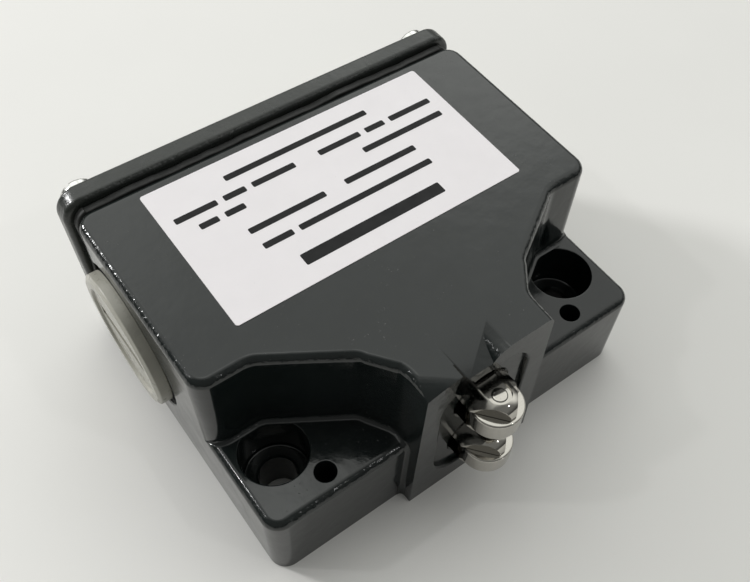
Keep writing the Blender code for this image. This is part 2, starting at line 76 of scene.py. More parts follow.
# ------------------------------------------------------------------ shape helpers
def rounded(corners, steps=8):
    """Outline from (x, y, radius) corners, each corner replaced by an arc."""
    outline = []
    for i, (x, y, radius) in enumerate(corners):
        corner = Vector((x, y))
        if radius == 0:
            outline.append(corner)
            continue
        back = (Vector(corners[i - 1][:2]) - corner).normalized()
        ahead = (Vector(corners[(i + 1) % len(corners)][:2]) - corner).normalized()
        half = back.angle(ahead) / 2
        centre = corner + (back + ahead).normalized() * (radius / math.sin(half))
        first = corner + back * (radius / math.tan(half)) - centre
        last = corner + ahead * (radius / math.tan(half)) - centre
        start = math.atan2(first.y, first.x)
        sweep = (math.atan2(last.y, last.x) - start + math.pi) % math.tau - math.pi
        for k in range(steps + 1):
            angle = start + sweep * k / steps
            outline.append(centre + Vector((math.cos(angle), math.sin(angle))) * radius)
    return outline


def mirrored(corners):
    return corners + [(-x, y, radius) for x, y, radius in reversed(corners)]


def rectangle(x0, x1, y0, y1, radius=0.0, steps=8):
    return rounded([(x0, y0, radius), (x1, y0, radius), (x1, y1, radius), (x0, y1, radius)], steps)


def prism(outline, axis, low, high, edge=0.0, ends=(False, True), segments=5):
    """Outline extruded along an axis; edge rounds the rims of the ends asked for."""
    place = {
        "X": lambda p: (low, p[0], p[1]),
        "Y": lambda p: (p[0], low, p[1]),
        "Z": lambda p: (p[0], p[1], low),
    }[axis]
    along = Vector([high - low if letter == axis else 0 for letter in "XYZ"])
    bm = bmesh.new()
    base = bm.faces.new([bm.verts.new(place(p)) for p in outline])
    top = bmesh.ops.extrude_face_region(bm, geom=[base], use_keep_orig=True)["geom"]
    bmesh.ops.translate(bm, verts=[v for v in top if isinstance(v, bmesh.types.BMVert)], vec=along)
    bmesh.ops.recalc_face_normals(bm, faces=bm.faces)
    if edge:
        level = "XYZ".index(axis)
        wanted = [value for value, asked in zip((low, high), ends) if asked]
        rim = [e for e in bm.edges
               if any(all(abs(v.co[level] - value) < 1e-4 for v in e.verts) for value in wanted)]
        bmesh.ops.bevel(bm, geom=rim, offset=edge, segments=segments, profile=0.5, affect="EDGES")
    return bm


def box(x0, x1, y0, y1, z0, z1):
    return prism([(x0, y0), (x1, y0), (x1, y1), (x0, y1)], "Z", z0, z1)


def turned(profile, axis, centre, steps=64):
    """Profile of (distance along the axis, radius) points spun round the axis."""
    bm = bmesh.new()
    verts = [bm.verts.new((radius, 0, along)) for along, radius in profile]
    edges = [bm.edges.new(pair) for pair in zip(verts, verts[1:])]
    if profile[0][1] > 0:
        edges.append(bm.edges.new((verts[-1], verts[0])))
    bmesh.ops.spin(bm, geom=verts + edges, cent=(0, 0, 0), axis=(0, 0, 1), angle=math.tau,
                   steps=steps, use_merge=True)
    bmesh.ops.remove_doubles(bm, verts=bm.verts, dist=1e-4)
    turn = {
        "X": Matrix.Rotation(math.pi / 2, 4, "Y"),
        "Y": Matrix.Rotation(-math.pi / 2, 4, "X"),
        "Z": Matrix.Identity(4),
    }[axis]
    bmesh.ops.transform(bm, matrix=Matrix.Translation(centre) @ turn, verts=bm.verts)
    bmesh.ops.recalc_face_normals(bm, faces=bm.faces)
    return bm


def cylinder(axis, centre, radius, low, high, steps=48):
    return turned([(low, 0), (low, radius), (high, radius), (high, 0)], axis, centre, steps)


def soft_profile(points, steps=4):
    """Profile of (along, radius, corner round) points with each corner turned into an arc."""
    out = []
    for i, (a, r, fillet) in enumerate(points):
        if not fillet or i in (0, len(points) - 1):
            out.append((a, r))
            continue
        corner = Vector((a, r))
        back = (Vector(points[i - 1][:2]) - corner).normalized()
        ahead = (Vector(points[i + 1][:2]) - corner).normalized()
        half = back.angle(ahead) / 2
        reach = fillet / math.tan(half)
        centre = corner + (back + ahead).normalized() * (fillet / math.sin(half))
        first, last = corner + back * reach - centre, corner + ahead * reach - centre
        start = math.atan2(first.y, first.x)
        sweep = (math.atan2(last.y, last.x) - start + math.pi) % math.tau - math.pi
        for k in range(steps + 1):
            angle = start + sweep * k / steps
            out.append((centre.x + fillet * math.cos(angle), centre.y + fillet * math.sin(angle)))
    return out


def lofted(rings):
    """Closed skin through rings of equally many (x, y, z) points."""
    bm = bmesh.new()
    rows = [[bm.verts.new(p) for p in ring] for ring in rings]
    for back, front in zip(rows, rows[1:]):
        for i in range(len(back)):
            j = (i + 1) % len(back)
            bm.faces.new((back[i], back[j], front[j], front[i]))
    bm.faces.new(rows[0])
    bm.faces.new(rows[-1])
    bmesh.ops.recalc_face_normals(bm, faces=bm.faces)
    return bm


def combined(*parts):
    whole = bmesh.new()
    for part in parts:
        mesh = bpy.data.meshes.new("scratch")
        part.to_mesh(mesh)
        whole.from_mesh(mesh)
        bpy.data.meshes.remove(mesh)
        part.free()
    return whole


def solid(name, bm):
    """Object from a mesh in millimetres; its vertices stay in millimetres until settle()."""
    mesh = bpy.data.meshes.new(name)
    bm.to_mesh(mesh)
    bm.free()
    thing = bpy.data.objects.new(name, mesh)
    scene.collection.objects.link(thing)
    return thing


def shape(target, bm, operation="DIFFERENCE"):
    """Boolean on the target, applied at once."""
    tool = solid("tool", bm)
    modifier = target.modifiers.new("cut", "BOOLEAN")
    modifier.operation, modifier.solver, modifier.object = operation, "EXACT", tool
    bpy.context.view_layer.update()
    made = bpy.data.meshes.new_from_object(
        target.evaluated_get(bpy.context.evaluated_depsgraph_get()))
    target.modifiers.remove(modifier)
    old, target.data = target.data, made
    made.name = target.name
    bpy.data.meshes.remove(old)
    spare = tool.data
    bpy.data.objects.remove(tool)
    bpy.data.meshes.remove(spare)
    return target


def settle(thing, look, body, nodes=(), sharp=32, weighted=True, extra=None, zones=()):
    """Scales a finished piece to metres, shades it and ties it to the frame.

    Zones are (material, test of a face centre in millimetres and its normal).
    """
    bm = bmesh.new()
    bm.from_mesh(thing.data)
    if extra is not None:
        scratch = bpy.data.meshes.new("scratch")
        extra.to_mesh(scratch)
        bm.from_mesh(scratch)
        bpy.data.meshes.remove(scratch)
        extra.free()
    bmesh.ops.remove_doubles(bm, verts=bm.verts, dist=2e-4)
    bmesh.ops.dissolve_degenerate(bm, dist=2e-4, edges=bm.edges)
    for number, (_, test) in enumerate(zones, 1):
        for face in bm.faces:
            if test(face.calc_center_median(), face.normal):
                face.material_index = number
    bmesh.ops.scale(bm, verts=bm.verts, vec=(MM, MM, MM))
    bm.to_mesh(thing.data)
    bm.free()
    thing.data.shade_smooth()
    thing.data.set_sharp_from_angle(angle=math.radians(sharp))
    thing.data.materials.clear()
    for made in (look, *[zone[0] for zone in zones]):
        thing.data.materials.append(made)
    if weighted:
        normals = thing.modifiers.new("normals", "WEIGHTED_NORMAL")
        normals.keep_sharp = True
        normals.weight = 80
    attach(thing, body)
    if nodes:
        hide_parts(*nodes)
    return thing


# ------------------------------------------------------------------ materials
class Look:
    """Small builder for a node material round one Principled shader."""

    def __init__(self, name, base, roughness, metallic=0.0, **sockets):
        self.material = bpy.data.materials.new(name)
        self.material.use_nodes = True
        self.tree = self.material.node_tree
        self.shader = self.tree.nodes["Principled BSDF"]
        self.set("Base Color", (*base, 1))
        self.set("Roughness", roughness)
        self.set("Metallic", metallic)
        for socket, value in sockets.items():
            self.set(socket.replace("_", " "), value)
        self.place = self.node("ShaderNodeTexCoord").outputs["Object"]

    def set(self, socket, value):
        self.shader.inputs[socket].default_value = value

    def node(self, kind, **settings):
        made = self.tree.nodes.new(kind)
        for key, value in settings.items():
            setattr(made, key, value)
        return made

    def join(self, source, target):
        self.tree.links.new(source, target)

    def stretched(self, scale):
        mapping = self.node("ShaderNodeMapping")
        mapping.inputs["Scale"].default_value = scale
        self.join(self.place, mapping.inputs["Vector"])
        return mapping.outputs["Vector"]

    def noise(self, scale, detail=3.0, rough=0.5, place=None, distortion=0.0):
        made = self.node("ShaderNodeTexNoise")
        made.inputs["Scale"].default_value = scale
        made.inputs["Detail"].default_value = detail
        made.inputs["Roughness"].default_value = rough
        made.inputs["Distortion"].default_value = distortion
        self.join(place or self.place, made.inputs["Vector"])
        return made.outputs["Fac"]

    def band(self, source, low, high, to_low=0.0, to_high=1.0):
        made = self.node("ShaderNodeMapRange")
        for key, value in (("From Min", low), ("From Max", high), ("To Min", to_low),
                           ("To Max", to_high)):
            made.inputs[key].default_value = value
        self.join(source, made.inputs["Value"])
        return made.outputs["Result"]

    def maths(self, operation, a, b):
        made = self.node("ShaderNodeMath", operation=operation)
        for socket, value in zip(made.inputs, (a, b)):
            if isinstance(value, (int, float)):
                socket.default_value = value
            else:
                self.join(value, socket)
        return made.outputs["Value"]

    def mix(self, factor, a, b):
        made = self.node("ShaderNodeMix", data_type="RGBA")
        self.join(factor, made.inputs[0])
        for socket, value in ((made.inputs[6], a), (made.inputs[7], b)):
            if isinstance(value, tuple):
                socket.default_value = (*value, 1)
            else:
                self.join(value, socket)
        return made.outputs[2]

    def rounding(self):
        """One on the rounded rims of the level faces, nought on flat faces and upright corners."""
        apart = self.node("ShaderNodeSeparateXYZ")
        self.join(self.node("ShaderNodeNewGeometry").outputs["Normal"], apart.inputs[0])
        rise = self.maths("ABSOLUTE", apart.outputs[2], 0)
        return self.maths("MULTIPLY", self.band(rise, 0.15, 0.40), self.band(rise, 0.93, 0.85))

    def feed(self, socket, source):
        self.join(source, self.shader.inputs[socket])

    def bump(self, *layers):
        """Layers of (height source, strength, distance in metres)."""
        last = None
        for source, strength, distance in layers:
            made = self.node("ShaderNodeBump")
            made.inputs["Strength"].default_value = strength
            made.inputs["Distance"].default_value = distance
            self.join(source, made.inputs["Height"])
            if last:
                self.join(last, made.inputs["Normal"])
            last = made.outputs["Normal"]
        self.join(last, self.shader.inputs["Normal"])


def paint_look(name, low, high, gloss, peel, cast=0.0, dust=0.5, edge=0.00005):
    """Stoved enamel on a casting: orange peel, soft mottling, dust nibs and lumpy edges."""
    look = Look(name, high, gloss, IOR=1.5)
    mottle = look.band(look.noise(70, 4, 0.55), 0.32, 0.68)
    colour = look.mix(mottle, low, high)
    nibs = look.band(look.noise(2300, 2, 0.6), 0.70, 0.78)
    where = look.band(look.noise(120, 3, 0.6), 0.46, 0.62)
    dusty = look.maths("MULTIPLY", nibs, look.maths("MULTIPLY", where, dust))
    colour = look.mix(dusty, colour, (0.16, 0.16, 0.15))
    look.feed("Base Color", colour)
    smear = look.band(look.noise(160, 5, 0.62, distortion=0.6), 0.35, 0.70, gloss, gloss + 0.10)
    look.feed("Roughness", look.maths("ADD", smear, look.maths("MULTIPLY", dusty, 0.3)))
    layers = [(look.noise(330, 2, 0.45), 1.0, peel),
              (look.noise(1500, 2, 0.5), 1.0, peel * 0.16),
              (nibs, 0.6, 0.00002)]
    if edge:
        lumps = look.maths("MULTIPLY", look.noise(820, 3, 0.55), look.rounding())
        layers.append((lumps, 1.0, edge * 4))
    if cast:
        layers.append((look.noise(620, 4, 0.6), 1.0, cast))
    look.bump(*layers)
    return look.material


def steel_look(name, base, roughness, stretch, streak=0.1, relief=0.000004, speck=0.2):
    """Machined metal: streaks along the tool path, faint smears and specks."""
    look = Look(name, base, roughness, 1.0)
    lines = look.noise(1.0, 4, 0.65, look.stretched(stretch))
    smear = look.noise(260, 4, 0.6)
    shade = look.band(lines, 0.3, 0.7, 0.0, 1.0)
    darker = tuple(c * (1 - streak) for c in base)
    colour = look.mix(shade, darker, base)
    spots = look.band(look.noise(1900, 3, 0.6), 0.66, 0.76, 0.0, speck)
    colour = look.mix(spots, colour, tuple(c * 0.45 for c in base))
    look.feed("Base Color", colour)
    rough = look.band(smear, 0.3, 0.75, roughness * 0.75, roughness * 1.45)
    look.feed("Roughness", look.maths("ADD", rough, look.maths("MULTIPLY", spots, 0.25)))
    look.bump((lines, 1.0, relief), (smear, 1.0, 0.000003))
    return look.material


def moulded_look(name, base, roughness, grain=0.00001, vary=0.2, **sockets):
    """Moulded plastic, rubber or film with fine grain and slight shade changes."""
    look = Look(name, base, roughness, 0.0, **sockets)
    shade = look.band(look.noise(180, 4, 0.6), 0.3, 0.7)
    colour = look.mix(shade, tuple(c * (1 - vary) for c in base), base)
    specks = look.band(look.noise(2600, 3, 0.6), 0.70, 0.78, 0.0, 0.35)
    colour = look.mix(specks, colour, tuple(min(1.0, c * 0.6) for c in base))
    look.feed("Base Color", colour)
    look.feed("Roughness", look.band(look.noise(420, 4, 0.6), 0.3, 0.7,
                                     roughness * 0.8, min(1.0, roughness * 1.25)))
    look.bump((look.noise(2400, 3, 0.6), 1.0, grain), (look.noise(140, 2), 1.0, grain * 4))
    return look.material


PAINT = paint_look("enamel", (0.0055, 0.0080, 0.0078), (0.0085, 0.0115, 0.0112), 0.10, 0.00005)
PAINT_BORE = paint_look("enamel_bore", (0.005, 0.007, 0.007), (0.009, 0.011, 0.011), 0.12, 0.00008,
                        cast=0.00022)
PAINT_LID = paint_look("enamel_lid", (0.012, 0.015, 0.013), (0.021, 0.024, 0.021), 0.24, 0.00008,
                       cast=0.00008)
LOOKS = {
    "housing_paint": PAINT,
    "plunger_steel": steel_look("stainless", (0.52, 0.50, 0.46), 0.09, (300, 2600, 300)),
    "bright_screw_steel": steel_look("bright_screw", (0.66, 0.66, 0.64), 0.14, (900, 400, 900)),
    "zinc_steel": steel_look("zinc", (0.50, 0.52, 0.53), 0.28, (600, 600, 600)),
    "spring_steel": steel_look("spring", (0.40, 0.40, 0.41), 0.25, (900, 900, 900)),
    "guide_alloy": steel_look("guide_alloy", (0.13, 0.125, 0.11), 0.24, (260, 1900, 260)),
    "seal_rubber": moulded_look("rubber", (0.014, 0.015, 0.014), 0.55, 0.00002),
    "plug_plastic": moulded_look("plug", (0.40, 0.39, 0.34), 0.30, 0.00001, 0.12),
    "label_film": moulded_look("film", (0.79, 0.76, 0.78), 0.36, 0.000004, 0.03),
    "switch_plastic": moulded_look("phenolic", (0.020, 0.020, 0.022), 0.4),
    "button_plastic": moulded_look("button", (0.42, 0.035, 0.025), 0.35),
    "contact_brass": steel_look("brass", (0.64, 0.48, 0.25), 0.24, (700, 700, 700)),
    "separator_card": moulded_look("card", (0.50, 0.40, 0.27), 0.6),
}
PRINT = moulded_look("print", (0.010, 0.010, 0.011), 0.5, 0.000004, 0.3, Specular_IOR_Level=0.2)
BARE = steel_look("bare_alloy", (0.50, 0.50, 0.48), 0.33, (500, 500, 500))


# ------------------------------------------------------------------ housing
BODY_CORNERS = [(NECK_HALF, NECK_FRONT - 2.5, 1.0), (13.2, -8.0, 5.0), (15.8, -2.4, 3.0),
                (28.6, BOX_FRONT, 4.0), (HALF_WIDTH, BOX_FRONT, 3.0), (HALF_WIDTH, BOX_BACK, 3.0)]


def oblong(radius, steps=24):
    outline = []
    for centre, start in ((PLUNGER_Z["upper"], 0), (PLUNGER_Z["lower"], math.pi)):
        for k in range(steps + 1):
            angle = start + math.pi * k / steps
            outline.append((radius * math.cos(angle), centre + radius * math.sin(angle)))
    return outline


def flared(low, high, radius, flare=0.3):
    """Hole profile up to a surface at height high, its rim slightly rounded."""
    lip = [(high - flare, radius), (high - flare * 0.45, radius + flare * 0.12),
           (high - flare * 0.12, radius + flare * 0.45), (high, radius + flare)]
    return [(low, radius)] + lip + [(high + 2, radius + flare)]


def junction(side):
    """Fillet bead where the wall of the body meets the ear, from the ear's foot to the corner."""
    def wall_x(y):
        """x of the neck's side at y, between its first two corners, at the ear's height."""
        across = NECK_HALF + (13.2 - NECK_HALF) * (y - NECK_FRONT + 2.5) / (-5.5 - NECK_FRONT)
        return across - NECK_DRAFT * EAR_TOP / DEPTH

    stations = []
    up, front = Vector((0, 0, 1)), Vector((0, -1, 0))
    normal = Vector((1, -0.055, 0)).normalized()
    edge_y, edge_z = EAR_FRONT + EDGE_ROUND, EAR_TOP - EDGE_ROUND
    foot = wall_x(EAR_FRONT) + NECK_DRAFT * EAR_TOP / DEPTH
    stations.append((Vector((foot, EAR_FRONT, 0.0)), normal, front, 0.9))
    stations.append((Vector((wall_x(EAR_FRONT), EAR_FRONT, edge_z)), normal, front, 0.9))
    for k in range(1, 7):
        t = math.pi / 2 * k / 6
        y = edge_y - EDGE_ROUND * math.cos(t)
        stations.append((Vector((wall_x(y), y, edge_z + EDGE_ROUND * math.sin(t))), normal,
                         front * math.cos(t) + up * math.sin(t), 0.9))
    outline = rounded(mirrored(BODY_CORNERS), 10)
    first = len(outline) // 2
    half = [p for p in outline[:first] if p.y > edge_y + 0.3 and p.y < BOX_FRONT + 2.9]
    for p in half:
        if p.y < -5.0:
            p.x -= NECK_DRAFT * EAR_TOP / DEPTH
    for i, p in enumerate(half):
        back = half[max(i - 1, 0)]
        ahead = half[min(i + 1, len(half) - 1)]
        along = (ahead - back).normalized()
        out = Vector((along.y, -along.x, 0))
        ear_up, z, radius = up, EAR_TOP, 0.9
        limit = HALF_WIDTH - EDGE_ROUND
        if p.x > limit:
            s = min((p.x - limit) / EDGE_ROUND, 1.0)
            ear_up = Vector((s, 0, math.sqrt(max(0.0, 1 - s * s))))
            z = EAR_TOP - EDGE_ROUND * (1 - ear_up.z)
            radius = 0.9 * max(0.05, 1 - s)
        stations.append((Vector((p.x, p.y, z)), out, ear_up.normalized(), radius))
    bm = bmesh.new()
    rows = []
    for point, n1, n2, radius in stations:
        ring = [point - (n1 + n2) * 0.35 + n1 * 0.0]
        for k in range(7):
            t = math.pi / 2 * k / 6
            ring.append(point + n1 * radius * (1 - math.sin(t)) + n2 * radius * (1 - math.cos(t)))
        ring.insert(1, ring[1] - n2 * 0.35)
        ring.append(ring[-1] - n1 * 0.35)
        rows.append([bm.verts.new((side * v.x, v.y, v.z)) for v in ring])
    for a, b in zip(rows, rows[1:]):
        for i in range(len(a)):
            j = (i + 1) % len(a)
            bm.faces.new((a[i], a[j], b[j], b[i]))
    bm.faces.new(rows[0])
    bm.faces.new(rows[-1])
    bmesh.ops.recalc_face_normals(bm, faces=bm.faces)
    return bm


def carve_nose(shell):
    """Sloping tongue, corner bevel and hollow at the label side of the nose."""
    tongue = [(-5.6, 36.4), (-5.6, DEPTH), (-3.6, 32.1), (-0.05, 32.1), (0.15, 33.0), (0.4, 33.6),
              (0.75, 34.15), (1.2, 34.6), (1.7, 34.85), (2.3, 35.05), (2.85, 35.2), (3.4, DEPTH),
              (4.5, 36.4)]
    notch = prism(tongue, "Y", NECK_FRONT - 1.5, -7.6)
    bmesh.ops.bisect_plane(
        notch, geom=notch.verts[:] + notch.edges[:] + notch.faces[:], clear_inner=True,
        plane_co=(0, -7.6, DEPTH + 0.01),
        plane_no=(0, -math.sin(math.radians(20)), math.cos(math.radians(20))))
    bmesh.ops.holes_fill(notch, edges=[edge for edge in notch.edges if edge.is_boundary])
    bmesh.ops.recalc_face_normals(notch, faces=notch.faces)
    shape(shell, notch)
    bevel = [(0, 2), (0, 0)] + [(t / 2, -0.105 * t - 0.01125 * t * t) for t in range(1, 17)] + [(8, 2)]
    along = Vector((-0.804, 0.595, 0)).normalized()
    across = Vector((0, 0, 1)).cross(along)
    place = Matrix.Translation((-5.5, -13.6, DEPTH)) @ Matrix(
        (along, across, (0, 0, 1))).transposed().to_4x4()
    cutter = prism(bevel, "X", -0.15, 13)
    bmesh.ops.transform(cutter, matrix=place, verts=cutter.verts)
    shape(shell, cutter)
    hollow = [(-5.6, 36), (-6.5, 33.4), (-6.7, 31.6), (-6.3, 30.0), (-5.0, 28.0), (-3.4, 26.4),
              (-1.9, 28.6), (-3.3, 31.4), (-5.3, 34.9)]
    shape(shell, prism(hollow, "Y", NECK_FRONT - 1, -11.2))


def build_housing():
    body = prism(rounded(mirrored(BODY_CORNERS), 10), "Z", 0, DEPTH, EDGE_ROUND, segments=7)
    for v in body.verts:
        if v.co.y < -5.0:
            v.co.x -= math.copysign(NECK_DRAFT * v.co.z / DEPTH, v.co.x)
    bmesh.ops.connect_verts_nonplanar(body, angle_limit=math.radians(0.2), faces=body.faces)
    shell = solid("housing_shell", body)
    ears = rounded([(-HALF_WIDTH, EAR_FRONT, 3.0), (HALF_WIDTH, EAR_FRONT, 3.0),
                    (HALF_WIDTH, BOX_FRONT + 8, 0), (-HALF_WIDTH, BOX_FRONT + 8, 0)], 12)
    shape(shell, prism(ears, "Z", 0, EAR_TOP, EDGE_ROUND, segments=7), "UNION")
    shape(shell, box(-20, 20, NECK_FRONT - 8, NECK_FRONT, -1, DEPTH + 1))

    top = DEPTH - FLOOR
    boss_x, boss_z = HALF_WIDTH - 8.0, 4.0
    inner = HALF_WIDTH - WALL
    chamber = [(boss_x, FLOOR), (boss_x, FLOOR + boss_z), (inner, FLOOR + boss_z),
               (inner, top - boss_z), (boss_x, top - boss_z), (boss_x, top)]
    chamber += [(-x, z) for x, z in reversed(chamber)]
    shape(shell, prism(chamber, "Y", CHAMBER_FRONT, BOX_BACK + 2))
    shape(shell, box(-NECK_CHAMBER_HALF, NECK_CHAMBER_HALF, NECK_CHAMBER_FRONT,
                     CHAMBER_FRONT + 1, 3.8, DEPTH - 3.8))
    shape(shell, prism(oblong(GUIDE_ROUND + 0.12), "Y", GUIDE_POCKET, NECK_CHAMBER_FRONT + 1))
    # Shallow dish round the plungers with a rounded rim, and the two plunger bores.
    lip = 0.45
    stations = [(NECK_FRONT - 1, lip)]
    for k in range(5):
        angle = math.pi / 2 * k / 4
        stations.append((NECK_FRONT + lip * (1 - math.cos(angle)) - 0.001, lip * (1 - math.sin(angle))))
    stations.append((NECK_FRONT + DISH_DEPTH, 0.0))
    shape(shell, lofted([[(x, y, z) for x, z in rectangle(-8.4 - g, 8.4 + g, 4.2 - g, 31.6 + g,
                                                          6.0 + g, 10)] for y, g in stations]))
    shape(shell, combined(*[turned([(NECK_FRONT - 1, 0), (NECK_FRONT - 1, PLUNGER + 0.5),
                                    (NECK_FRONT + DISH_DEPTH, PLUNGER + 0.42),
                                    (NECK_FRONT + DISH_DEPTH + 0.3, PLUNGER + 0.12),
                                    (GUIDE_POCKET + 1, PLUNGER + 0.12), (GUIDE_POCKET + 1, 0)],
                                   "Y", (0, 0, z), 72) for z in PLUNGER_Z.values()]))

    posts = [(x, 25.0, 2.9, 1.8) for x in (-16.6, 16.6)] + [(24.6, 24.0, 4.0, 2.3)]
    shape(shell, combined(*[cylinder("Z", (x, y, 0), r, FLOOR - 1, FLOOR + 2.6, 24)
                            for x, y, r, _ in posts]), "UNION")
    bores = [cylinder("Z", (x, y, 0), hole, 1.4, 8, 24) for x, y, _, hole in posts]
    bores += [cylinder("Y", (x, 0, z), 2.3, BOX_BACK - 11, BOX_BACK + 2, 24)
              for x in (-LID_SCREW_X, LID_SCREW_X) for z in LID_SCREW_Z]
    bores += [cylinder("Y", (x, 0, DEPTH / 2), 1.8, CHAMBER_FRONT - 7, CHAMBER_FRONT + 1, 24)
              for x in (-13, 13)]
    shape(shell, combined(*bores))

    drilled = []
    for side in (-1, 1):
        stepped = [(-1, 0), (-1, FIX_HOLE), (SEAT_HEIGHT - 0.3, FIX_HOLE),
                   (SEAT_HEIGHT, FIX_HOLE + 0.3), (SEAT_HEIGHT, COUNTERBORE - 0.5),
                   (SEAT_HEIGHT + 0.15, COUNTERBORE - 0.15), (SEAT_HEIGHT + 0.5, COUNTERBORE)]
        stepped += flared(SEAT_HEIGHT + 1, EAR_TOP, COUNTERBORE)[1:] + [(EAR_TOP + 2, 0)]
        drilled.append(turned(stepped, "Z", (side * FIX_X, 0, 0), 72))
        pinned = [(-1, 0)] + flared(-1, EAR_TOP, DOWEL_HOLE, 0.2) + [(EAR_TOP + 2, 0)]
        drilled.append(turned(pinned, "Z", (side * DOWEL_X, DOWEL_Y, 0), 40))
    entry = [(-2, 0), (-2, ENTRY_FACE + 0.2), (0, ENTRY_FACE + 0.2), (0.2, ENTRY_FACE),
             (0.8, ENTRY_FACE), (0.8, ENTRY_HOLE), (WALL + 1, ENTRY_HOLE), (WALL + 1, 0)]
    drilled.append(turned(entry, "X", (-HALF_WIDTH, ENTRY_Y, ENTRY_Z), 96))
    shape(shell, combined(*drilled))

    carve_nose(shell)

    def bored(centre, normal):
        """Walls and seats of the fixing and dowel holes in the ears."""
        near = any(math.hypot(centre.x - side * FIX_X, centre.y) < COUNTERBORE + 0.32
                   or math.hypot(centre.x - side * DOWEL_X, centre.y - DOWEL_Y) < DOWEL_HOLE + 0.25
                   for side in (-1, 1))
        return near and centre.z < EAR_TOP - 0.001 and centre.z > 0.05

    def seat(centre, normal):
        """Machined ring that the cable plug seats on."""
        return (centre.x < -HALF_WIDTH + 1.0 and math.hypot(centre.y - ENTRY_Y, centre.z - ENTRY_Z)
                < ENTRY_FACE + 0.25)

    settle(shell, PAINT, "housing_body", ["housing"],
           extra=combined(junction(-1), junction(1)), zones=[(PAINT_BORE, bored), (BARE, seat)])


# ------------------------------------------------------------------ lid, gasket and screws
def build_lid():
    corners = [(x, z) for x in (-LID_SCREW_X, LID_SCREW_X) for z in LID_SCREW_Z]
    lid = solid("lid_cover", prism(rectangle(-LID_X, LID_X, 0.3, 36.3, 4.0, 12), "Y", *LID, 0.9,
                                   (True, True), 6))
    shape(lid, combined(*[turned([(LID[0] - 1, 0), (LID[0] - 1, 2.3), (LID[1] - 0.3, 2.3),
                                  (LID[1], 2.6), (LID[1] + 1, 2.6), (LID[1] + 1, 0)],
                                 "Y", (x, 0, z), 32) for x, z in corners]))
    settle(lid, PAINT_LID, "housing_body", ["lid"])

    # Gasket squeezed out unevenly along its rim.
    outer = rectangle(-HALF_WIDTH + 0.1, HALF_WIDTH - 0.1, 0.2, DEPTH - 0.1, 3.0, 8)
    dense = []
    for a, b in zip(outer, outer[1:] + outer[:1]):
        count = max(1, int((b - a).length / 0.8))
        dense += [a + (b - a) * k / count for k in range(count)]
    centre = Vector((0, DEPTH / 2))
    wavy = []
    for p in dense:
        push = noise.noise(Vector((p.x * 0.16, p.y * 0.16, 3.7)))
        push += 0.5 * noise.noise(Vector((p.x * 0.5, p.y * 0.5, 9.1)))
        towards = Vector((1 if p.x > 0 else -1, 0)) if abs(p.x) > HALF_WIDTH - 2 else Vector(
            (0, 1 if p.y > centre.y else -1))
        moved = p + towards * (0.30 * push - 0.30)
        wavy.append(Vector((moved.x, max(moved.y, 0.05))))
    gasket = solid("lid_gasket_rim", prism(wavy, "Y", BOX_BACK + 0.02, LID[0] - 0.02, 0.25,
                                           (True, True), 3))
    shape(gasket, prism(rectangle(-28.6, 28.6, 4.2, DEPTH - 4.2, 2.0, 8), "Y", 42, 46))
    shape(gasket, combined(*[cylinder("Y", (x, 0, z), 2.4, 42, 46, 24) for x, z in corners]))
    settle(gasket, LOOKS["seal_rubber"], "housing_body", ["lid_gasket"])

    for number, (x, z) in enumerate(corners, 1):
        head = soft_profile([(-13.0, 0, 0), (-13.0, 1.7, 0), (-12.6, 2.0, 0), (0, 2.0, 0),
                             (0, 3.2, 0), (2.0, 3.2, 0.55), (2.0, 0, 0)])
        piece = solid(f"lid_screw_head_{number}", turned(head, "Y", (x, LID[1] + 0.3, z), 48))
        turn = math.radians((18, 64, 101, 37)[number - 1])
        slot = box(-5, 5, 0, 4, -0.45, 0.45)
        bmesh.ops.transform(slot, matrix=Matrix.Translation((x, LID[1] + 1.4, z))
                            @ Matrix.Rotation(turn, 4, "Y"), verts=slot.verts)
        shape(piece, slot)
        settle(piece, LOOKS["bright_screw_steel"], "housing_body",
               [f"lid_screw_{number}"])


# ------------------------------------------------------------------ cable entry
def build_plug():
    centre = (ENTRY_SEAT, ENTRY_Y, ENTRY_Z)
    seal = soft_profile([(-0.55, 10.4, 0), (-0.05, 10.4, 0), (-0.05, 11.8, 0.1), (-0.55, 11.8, 0.1)])
    settle(solid("plug_seal_ring", turned(seal, "X", centre, 72)), LOOKS["seal_rubber"],
           "housing_body", ["cable_plug_seal"])
    head = soft_profile([(-2.55, 0, 0), (-2.55, 9.5, 0.1), (-3.0, 9.75, 0.15), (-3.0, 11.35, 0.3),
                         (-2.55, 12.1, 0.25), (-0.6, 12.1, 0.2), (-0.6, 10.0, 0), (4.6, 10.0, 0),
                         (5.2, 9.4, 0), (5.2, 0, 0)])
    plug = solid("cable_plug_head", turned(head, "X", centre, 96))
    slot = prism(rectangle(ENTRY_Y - 8, ENTRY_Y + 8, ENTRY_Z - 1.3, ENTRY_Z + 1.3, 0.3, 3),
                 "X", ENTRY_SEAT - 4, ENTRY_SEAT - 1.3)
    shape(plug, slot)
    settle(plug, LOOKS["plug_plastic"], "housing_body", ["cable_plug"])


